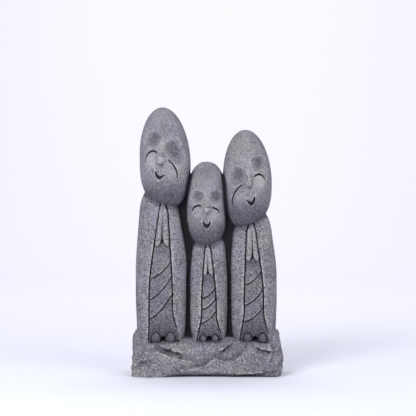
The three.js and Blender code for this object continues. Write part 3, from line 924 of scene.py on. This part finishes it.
GRAIN_INPUTS = (
    ("Lump width", "NodeSocketFloat", 3.4 * MM),
    ("Lump height", "NodeSocketFloat", 0.34 * MM),
    ("Pit spacing", "NodeSocketFloat", 4.6 * MM),
    ("Pit width", "NodeSocketFloat", 0.9 * MM),
    ("Pit depth", "NodeSocketFloat", 0.45 * MM),
    ("Rock roughness", "NodeSocketFloat", 2.8),
    ("Face roughness", "NodeSocketFloat", 0.4),
    ("Seed", "NodeSocketFloat", 3.0),
    ("Stone", "NodeSocketMaterial", None),
)
NOISE_GAIN = 3.0  # the noise keeps to the middle third of its range
GROUND_FADE = 2.0 * MM  # the grain fades out over this height, so that the underside stays flat


def add(tree, kind, at=(0, 0), links=None, **settings):
    """Adds one node with its settings; links maps an input's name or number to a value or an output."""
    node = tree.nodes.new(kind)
    node.location = at
    for key, value in settings.items():
        setattr(node, key, value)
    for key, value in (links or {}).items():
        socket = node.inputs[key]
        if isinstance(value, bpy.types.NodeSocket):
            tree.links.new(value, socket)
        else:
            socket.default_value = value
    return node


def maths(tree, operation, a, b):
    return add(tree, "ShaderNodeMath", operation=operation, links={0: a, 1: b}).outputs[0]


def make_grain_tree():
    def mark(name):
        kind = "GeometryNodeInputNamedAttribute"
        return add(tree, kind, data_type="FLOAT", links={"Name": name}).outputs[0]

    tree = bpy.data.node_groups.new("cast_grain", "GeometryNodeTree")
    tree.interface.new_socket("Geometry", in_out="INPUT", socket_type="NodeSocketGeometry")
    for name, kind, value in GRAIN_INPUTS:
        socket = tree.interface.new_socket(name, in_out="INPUT", socket_type=kind)
        if value is not None:
            socket.default_value = value
    tree.interface.new_socket("Geometry", in_out="OUTPUT", socket_type="NodeSocketGeometry")
    given = add(tree, "NodeGroupInput").outputs
    place = add(tree, "GeometryNodeInputPosition").outputs[0]
    normal = add(tree, "GeometryNodeInputNormal").outputs[0]
    up = add(tree, "ShaderNodeSeparateXYZ", links={0: place}).outputs["Z"]

    lump_scale = maths(tree, "DIVIDE", 1.0, given["Lump width"])
    lumps = add(
        tree, "ShaderNodeTexNoise", noise_dimensions="4D",
        links={"Vector": place, "W": given["Seed"], "Scale": lump_scale, "Detail": 2.0, "Roughness": 0.6},
    ).outputs["Fac"]
    lumps = maths(tree, "SUBTRACT", lumps, 0.5)
    raised = maths(tree, "MULTIPLY", lumps, given["Lump height"])
    raised = maths(tree, "MULTIPLY", raised, NOISE_GAIN)

    pit_scale = maths(tree, "DIVIDE", 1.0, given["Pit spacing"])
    pits = add(
        tree, "ShaderNodeTexVoronoi", voronoi_dimensions="4D",
        links={"Vector": place, "W": given["Seed"], "Scale": pit_scale},
    ).outputs["Distance"]
    reach = maths(tree, "MULTIPLY", given["Pit width"], pit_scale)
    inside = add(
        tree, "ShaderNodeMapRange", interpolation_type="SMOOTHSTEP",
        links={"Value": pits, "From Min": 0.0, "From Max": reach, "To Min": 1.0, "To Max": 0.0},
    ).outputs[0]
    sunk = maths(tree, "MULTIPLY", inside, given["Pit depth"])
    offset = maths(tree, "SUBTRACT", raised, sunk)

    calm = add(
        tree, "ShaderNodeMapRange",
        links={"Value": mark("face_skin"), "To Min": 1.0, "To Max": given["Face roughness"]},
    ).outputs[0]
    rock = add(
        tree, "ShaderNodeMapRange",
        links={"Value": mark("rock"), "To Min": 1.0, "To Max": given["Rock roughness"]},
    ).outputs[0]
    calm = maths(tree, "MULTIPLY", calm, rock)
    ground = add(
        tree, "ShaderNodeMapRange",
        links={"Value": up, "From Min": 0.0, "From Max": GROUND_FADE, "To Min": 0.0, "To Max": 1.0},
    ).outputs[0]
    calm = maths(tree, "MULTIPLY", calm, ground)
    offset = maths(tree, "MULTIPLY", offset, calm)
    push = add(tree, "ShaderNodeVectorMath", operation="SCALE", links={0: normal, "Scale": offset})
    moved = add(
        tree, "GeometryNodeSetPosition", links={"Geometry": given["Geometry"], "Offset": push.outputs[0]},
    )
    whole = add(tree, "GeometryNodeRealizeInstances", links={0: moved.outputs[0]})
    done = add(
        tree, "GeometryNodeSetMaterial", links={"Geometry": whole.outputs[0], "Material": given["Stone"]},
    )
    add(tree, "NodeGroupOutput", links={0: done.outputs[0]})
    return tree


# Cast stone, which is cement with crushed stone: a matt grey that was washed with thin black paint, wiped
# off the high places, and dry-brushed pale on the edges. Shade is painted dark over the wash in its cuts,
# between the figures and under chins, noses and palms, and light is painted pale on the outer cheeks.
# It has no gloss, and its grain is fine and open.

STONE_GREY = "#838288"
STONE_COOL = "#716d75"
FACE_GREY = "#a3a2ab"
STONE_WARM = "#93928c"
STONE_LILAC = "#8f899b"
# Black of the wash, painted on as the shade in cuts and gaps too.
WASH_AND_SHADE_BLACK = "#242027"
# Near black for the painted shade deep between the figures.
WASH_AND_SHADE_DEEPEST = "#0e0c10"
RUBBED_PALE = "#c4c3bf"
# Dry brush, with painted light on the outer cheeks.
BRUSHED_AND_LIT_PALE = "#d2d1c8"
# Purple of the wash and of the painted shade under chins, noses and palms; it also tints the rock.
WASH_AND_SHADE_PURPLE = "#3f3945"
SPECK_DARK = "#4a4751"
GRAIN_MM = 2.3  # the real grit is about 0.6 mm; it is drawn nearly four times as coarse, to show
MOTTLE_MM = 24.0
BLOTCH_MM = 7.0
# Each layer of wash and painted shade lies where the stone round a point goes from the first share to the
# second, and is this dark.
WIDE_WASH_AND_SHADE = (0.54, 0.67, 0.95)
DEEP_WASH_AND_SHADE = (0.6, 0.7, 0.9)
CUT_WASH_AND_SHADE = (0.56, 0.7, 0.97)


def colour(code):
    """A hex colour as Blender's linear values."""
    parts = [int(code[i:i + 2], 16) / 255 for i in (1, 3, 5)]
    return tuple(c / 12.92 if c <= 0.04045 else ((c + 0.055) / 1.055) ** 2.4 for c in parts) + (1.0,)


def make_cast_stone():
    material = bpy.data.materials.new("cast_stone_washed_shaded_and_rubbed")
    material.use_nodes = True
    tree = material.node_tree
    tree.nodes.clear()
    place = add(tree, "ShaderNodeTexCoord").outputs["Object"]

    def noise(width_mm, detail, rough, w):
        scale = 1 / (width_mm * MM)
        return add(
            tree, "ShaderNodeTexNoise", noise_dimensions="4D",
            links={"Vector": place, "W": w, "Scale": scale, "Detail": detail, "Roughness": rough},
        ).outputs["Fac"]

    def ramp(value, start, end, low_value=0.0, high_value=1.0):
        ends = {"From Min": start, "From Max": end, "To Min": low_value, "To Max": high_value}
        return add(
            tree, "ShaderNodeMapRange", interpolation_type="SMOOTHSTEP", links={"Value": value, **ends},
        ).outputs[0]

    def times(a, b):
        return maths(tree, "MULTIPLY", a, b)

    def plus(a, b):
        return maths(tree, "ADD", a, b)

    def tint(share, under, over):
        mix = add(tree, "ShaderNodeMix", data_type="RGBA", links={"Factor": share})
        for socket, value in ((mix.inputs[6], under), (mix.inputs[7], over)):
            if isinstance(value, bpy.types.NodeSocket):
                tree.links.new(value, socket)
            else:
                socket.default_value = value
        return mix.outputs[2]

    def mark(name):
        return add(tree, "ShaderNodeAttribute", attribute_name=name).outputs["Fac"]

    near, far = mark("near_stone"), mark("far_stone")
    grain = noise(GRAIN_MM, 2.0, 0.7, 1.0)
    blotch = noise(BLOTCH_MM, 3.0, 0.6, 5.0)

    mottle = ramp(noise(MOTTLE_MM, 3.0, 0.55, 9.0), 0.35, 0.65)
    warm = ramp(noise(MOTTLE_MM * 1.7, 1.0, 0.5, 3.0), 0.5, 0.62)
    lilac = ramp(noise(MOTTLE_MM * 1.4, 1.0, 0.5, 6.0), 0.5, 0.62)

    stone = tint(mottle, colour(STONE_GREY), colour(STONE_COOL))
    stone = tint(times(ramp(blotch, 0.5, 0.75), 0.3), stone, colour(STONE_WARM))
    stone = tint(times(warm, 0.4), stone, colour(STONE_WARM))
    stone = tint(times(lilac, 0.35), stone, colour(STONE_LILAC))
    stone = tint(times(mark("face_skin"), 0.12), stone, colour(FACE_GREY))
    stone = tint(times(mark("rock"), 0.1), stone, colour(WASH_AND_SHADE_PURPLE))
    rough = ramp(mark("face_skin"), 0.0, 1.0, 1.0, 0.6)
    stone = tint(times(times(ramp(grain, 0.48, 0.38), 0.95), rough), stone, colour(SPECK_DARK))
    stone = tint(times(times(ramp(grain, 0.56, 0.67), 0.5), rough), stone, colour(RUBBED_PALE))
    worn = times(ramp(near, 0.44, 0.31), ramp(plus(grain, times(blotch, 0.5)), 0.62, 0.86))
    stone = tint(times(worn, 0.5), stone, colour(RUBBED_PALE))
    # Dry brush, and painted light on the outer cheeks.
    brushed_and_lit = times(mark("dry_brush_and_painted_light"), ramp(plus(grain, times(blotch, 0.4)), 0.5, 0.85, 0.3, 1.0))
    stone = tint(brushed_and_lit, stone, colour(BRUSHED_AND_LIT_PALE))
    # Painted shade under chins, noses and palms and in the brow hollows, with the wash.
    stone = tint(times(mark("wash_and_painted_shade"), ramp(grain, 0.35, 0.6, 0.92, 0.66)), stone, colour(WASH_AND_SHADE_PURPLE))
    # Wash in cuts and between the figures, painted darker still as the shade that falls there.
    layers = ((far, WIDE_WASH_AND_SHADE, WASH_AND_SHADE_BLACK), (far, DEEP_WASH_AND_SHADE, WASH_AND_SHADE_DEEPEST), (near, CUT_WASH_AND_SHADE, WASH_AND_SHADE_BLACK))
    for around, (start, end, strength), tone in layers:
        stone = tint(times(ramp(around, start, end), strength), stone, colour(tone))

    height = plus(times(grain, 0.6), times(blotch, 0.4))
    bump = add(
        tree, "ShaderNodeBump", links={"Height": height, "Strength": 0.55, "Distance": 0.9 * MM},
    ).outputs[0]
    finish = add(
        tree, "ShaderNodeBsdfPrincipled",
        links={
            "Base Color": stone,
            "Normal": bump,
            "Roughness": 0.88,
            "IOR": 1.5,
            "Specular IOR Level": 0.3,
        },
    ).outputs[0]
    add(tree, "ShaderNodeOutputMaterial", links={"Surface": finish})
    return material


cast_stone = make_cast_stone()
grain = statue.modifiers.new("cast_grain", "NODES")
grain.node_group = make_grain_tree()
for item in grain.node_group.interface.items_tree:
    if item.item_type == "SOCKET" and item.in_out == "INPUT" and item.name == "Stone":
        grain[item.identifier] = cast_stone

FACE_LIMIT = 188000
statue.data.materials.append(cast_stone)
thin = statue.modifiers.new("fewer_faces", "DECIMATE")
triangle_count = len(triangles) + 2 * len(quads)
thin.ratio = min(FACE_LIMIT / triangle_count, 1.0)
thin.use_collapse_triangulate = True
depsgraph = bpy.context.evaluated_depsgraph_get()
finished = bpy.data.meshes.new_from_object(statue.evaluated_get(depsgraph), depsgraph=depsgraph)
statue.modifiers.clear()
statue.data = finished
finished.name = "jizo_statue_carved"
finished.shade_smooth()

write_marks(finished)

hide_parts("jizo_statue")
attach(statue, "root")


# A plain pale floor of matt paper that curves up behind the statue, lit like a small studio: one broad
# soft light in front on the left, a weaker one on the right, a large one on the backdrop, and an even
# white surround.

FLOOR_WHITE = "#eceffa"
SURROUND_WHITE = "#eef1ff"
SURROUND_STRENGTH = 0.42
FLOOR_FRONT = -4.5
FLOOR_BACK = 3.6
FLOOR_BEND = 1.2
FLOOR_HALF_WIDTH = 6.0
WALL_HEIGHT = 3.6


def make_floor():
    bend_start = FLOOR_BACK - FLOOR_BEND
    profile = [(FLOOR_FRONT, 0.0), (bend_start, 0.0)]
    for step in range(1, 13):
        turn = step / 12 * math.pi / 2
        profile.append((bend_start + FLOOR_BEND * math.sin(turn), FLOOR_BEND - FLOOR_BEND * math.cos(turn)))
    profile.append((FLOOR_BACK, WALL_HEIGHT))
    points = [(side * FLOOR_HALF_WIDTH, y, z) for y, z in profile for side in (-1, 1)]
    rows = [(2 * i, 2 * i + 1, 2 * i + 3, 2 * i + 2) for i in range(len(profile) - 1)]
    mesh = bpy.data.meshes.new("studio_floor")
    mesh.from_pydata(points, [], rows)
    mesh.shade_smooth()
    floor = bpy.data.objects.new("studio_floor", mesh)
    bpy.context.scene.collection.objects.link(floor)
    paper = bpy.data.materials.new("matt_white_paper")
    paper.use_nodes = True
    surface = paper.node_tree.nodes["Principled BSDF"]
    surface.inputs["Base Color"].default_value = colour(FLOOR_WHITE)
    surface.inputs["Roughness"].default_value = 0.9
    mesh.materials.append(paper)


make_floor()


def soft_light(name, place, aim, size, power, tone):
    light = bpy.data.lights.new(name, "AREA")
    light.shape = "DISK"
    light.size = size
    light.energy = power
    light.color = colour(tone)[:3]
    lamp = bpy.data.objects.new(name, light)
    lamp.location = place
    direction = mathutils.Vector(aim) - mathutils.Vector(place)
    lamp.rotation_euler = direction.to_track_quat("-Z", "Y").to_euler()
    bpy.context.scene.collection.objects.link(lamp)


soft_light("key_left", (-0.75, -1.7, 1.15), (0, 0, 0.24), 0.9, 30.0, "#ffffff")
soft_light("fill_right", (1.5, -1.6, 1.1), (0, 0, 0.2), 1.5, 16.0, "#ffffff")
soft_light("backdrop_light", (0.0, 1.5, 2.9), (0, 3.4, 0.3), 2.6, 60.0, "#fff6f0")

world = bpy.data.worlds.new("studio_surround")
world.use_nodes = True
surround = world.node_tree.nodes["Background"]
surround.inputs["Color"].default_value = colour(SURROUND_WHITE)
surround.inputs["Strength"].default_value = SURROUND_STRENGTH
bpy.context.scene.world = world
bpy.context.scene.view_settings.view_transform = "Standard"

# The camera stands level with the child's face, about two metres away, as a small product is photographed.

CAMERA_DISTANCE = 2.1
CAMERA_HEIGHT = 0.2445
CAMERA_SIDE = 0.0008
VIEW_PIXELS = 416
PIXELS_PER_METRE_AT_ONE = 1419.0
SENSOR_MM = 36.0
lens = bpy.data.cameras.new("camera")
lens.sensor_width = SENSOR_MM
lens.lens = PIXELS_PER_METRE_AT_ONE / VIEW_PIXELS * SENSOR_MM
camera = bpy.data.objects.new("camera", lens)
camera.location = (CAMERA_SIDE, -CAMERA_DISTANCE, CAMERA_HEIGHT)
camera.rotation_euler = (math.pi / 2, 0, 0)
bpy.context.scene.collection.objects.link(camera)
bpy.context.scene.camera = camera
